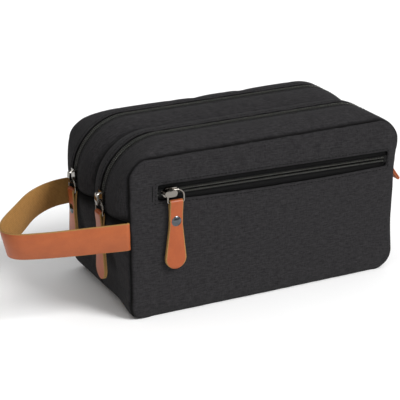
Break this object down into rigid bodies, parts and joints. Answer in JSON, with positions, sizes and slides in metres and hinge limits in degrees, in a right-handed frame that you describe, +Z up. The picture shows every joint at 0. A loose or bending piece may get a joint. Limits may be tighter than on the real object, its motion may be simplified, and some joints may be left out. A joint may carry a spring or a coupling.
{
  "type": "shaving kit bag",
  "caption": "Soft box-shaped shaving kit bag with two arched zipped compartments side by side, a zipped front pocket, folded leather zip pulls and a looped wrist strap.",
  "frame": {"origin": "centre of the flat base, on the surface that the bag stands on, midway between the front and back panels and between the two ends", "axes": "+X to the right along the bag seen from the front, with the wrist strap at -X; +Y from the front pocket panel to the back panel; +Z up"},
  "size_m": [0.3489, 0.1282, 0.1387],
  "materials": {
    "shell_fabric": "charcoal melange woven polyester, matt",
    "lining": "plain grey polyester taffeta",
    "binding": "black grosgrain tape",
    "zip_tape": "black woven zip tape",
    "zip_coil": "black polyester coil",
    "nickel": "polished nickel plate",
    "pull_leather": "smooth tan leather",
    "strap_leather": "smooth tan leather with a fine grain",
    "strap_backing": "woven tan backing"
  },
  "bodies": {
    "bag": {"front_panel": "shell_fabric", "back_panel": "shell_fabric", "compartment_divider": "lining", "front_gusset_near_strip": "shell_fabric", "front_gusset_far_strip": "shell_fabric", "front_gusset_base": "shell_fabric", "rear_gusset_near_strip": "shell_fabric", "rear_gusset_far_strip": "shell_fabric", "rear_gusset_base": "shell_fabric", "front_lining": "lining", "rear_lining": "lining", "pocket_lining": "lining", "front_seam_binding": "binding", "centre_seam_binding_front": "binding", "centre_seam_binding_rear": "binding", "rear_seam_binding": "binding", "front_zip_tape_near": "zip_tape", "front_zip_tape_far": "zip_tape", "front_zip_coil_near": "zip_coil", "front_zip_coil_far": "zip_coil", "front_zip_stops": "zip_coil", "rear_zip_tape_near": "zip_tape", "rear_zip_tape_far": "zip_tape", "rear_zip_coil_near": "zip_coil", "rear_zip_coil_far": "zip_coil", "rear_zip_stops": "zip_coil", "pocket_zip_tape_upper": "zip_tape", "pocket_zip_tape_lower": "zip_tape", "pocket_zip_coil_upper": "zip_coil", "pocket_zip_coil_lower": "zip_coil", "pocket_zip_stops": "zip_coil", "strap_roots": "strap_leather", "strap_root_backing": "strap_backing", "strap_tails": "strap_leather"},
    "pocket_slider": {"pocket_zip_slider": "nickel"},
    "pocket_ring": {"pocket_zip_ring": "nickel"},
    "pocket_pull": {"pocket_zip_pull": "pull_leather", "pocket_zip_rivet": "nickel"},
    "front_slider": {"front_zip_slider": "nickel"},
    "front_ring": {"front_zip_ring": "nickel"},
    "front_pull": {"front_zip_pull": "pull_leather", "front_zip_rivet": "nickel"},
    "rear_slider": {"rear_zip_slider": "nickel"},
    "rear_ring": {"rear_zip_ring": "nickel"},
    "rear_pull": {"rear_zip_pull": "pull_leather", "rear_zip_rivet": "nickel"},
    "wrist_strap": {"strap_leather": "strap_leather", "strap_backing": "strap_backing"},
    "front_tab": {"front_grab_tab": "strap_leather"},
    "rear_tab": {"rear_grab_tab": "strap_leather"}
  },
  "joints": [
    {"name": "pocket_slider_travel", "type": "slide", "parent": "bag", "child": "pocket_slider", "axis": [0.9997, 0, -0.0244], "range_m": [0, 0.185]},
    {"name": "pocket_ring_swing", "type": "hinge", "parent": "pocket_slider", "child": "pocket_ring", "pos_m": [-0.08087, -0.0639, 0.10137], "axis": [0, -1, 0], "range_deg": [-20, 90]},
    {"name": "pocket_pull_lift", "type": "hinge", "parent": "pocket_ring", "child": "pocket_pull", "pos_m": [-0.08042, -0.0639, 0.09335], "axis": [-0.9997, 0, 0.0244], "range_deg": [0, 110]},
    {"name": "front_slider_round_corner", "type": "hinge", "parent": "bag", "child": "front_slider", "pos_m": [-0.0805, -0.0285, 0.093], "axis": [0, 1, 0], "range_deg": [0, 90]},
    {"name": "front_ring_swing", "type": "hinge", "parent": "front_slider", "child": "front_ring", "pos_m": [-0.1289, -0.0285, 0.0909], "axis": [0, 1, 0], "range_deg": [0, 90]},
    {"name": "front_pull_lift", "type": "hinge", "parent": "front_ring", "child": "front_pull", "pos_m": [-0.1289, -0.0285, 0.0809], "axis": [0, 1, 0], "range_deg": [0, 80]},
    {"name": "rear_slider_round_corner", "type": "hinge", "parent": "bag", "child": "rear_slider", "pos_m": [-0.0805, 0.0285, 0.093], "axis": [0, 1, 0], "range_deg": [0, 90]},
    {"name": "rear_ring_swing", "type": "hinge", "parent": "rear_slider", "child": "rear_ring", "pos_m": [-0.1289, 0.0285, 0.0909], "axis": [0, 1, 0], "range_deg": [0, 40]},
    {"name": "rear_pull_lift", "type": "hinge", "parent": "rear_ring", "child": "rear_pull", "pos_m": [-0.1289, 0.0285, 0.0809], "axis": [0, 1, 0], "range_deg": [0, 45]},
    {"name": "strap_flex", "type": "hinge", "parent": "bag", "child": "wrist_strap", "pos_m": [-0.1194, 0, 0.07], "axis": [0, 1, 0], "range_deg": [-40, 40], "stiffness_Nm_per_rad": 0.08},
    {"name": "front_tab_flex", "type": "hinge", "parent": "bag", "child": "front_tab", "pos_m": [0.1278, -0.0285, 0.082], "axis": [0, 1, 0], "range_deg": [-40, 25], "stiffness_Nm_per_rad": 0.005},
    {"name": "rear_tab_flex", "type": "hinge", "parent": "bag", "child": "rear_tab", "pos_m": [0.1278, 0.0285, 0.082], "axis": [0, 1, 0], "range_deg": [-40, 25], "stiffness_Nm_per_rad": 0.005}
  ]
}
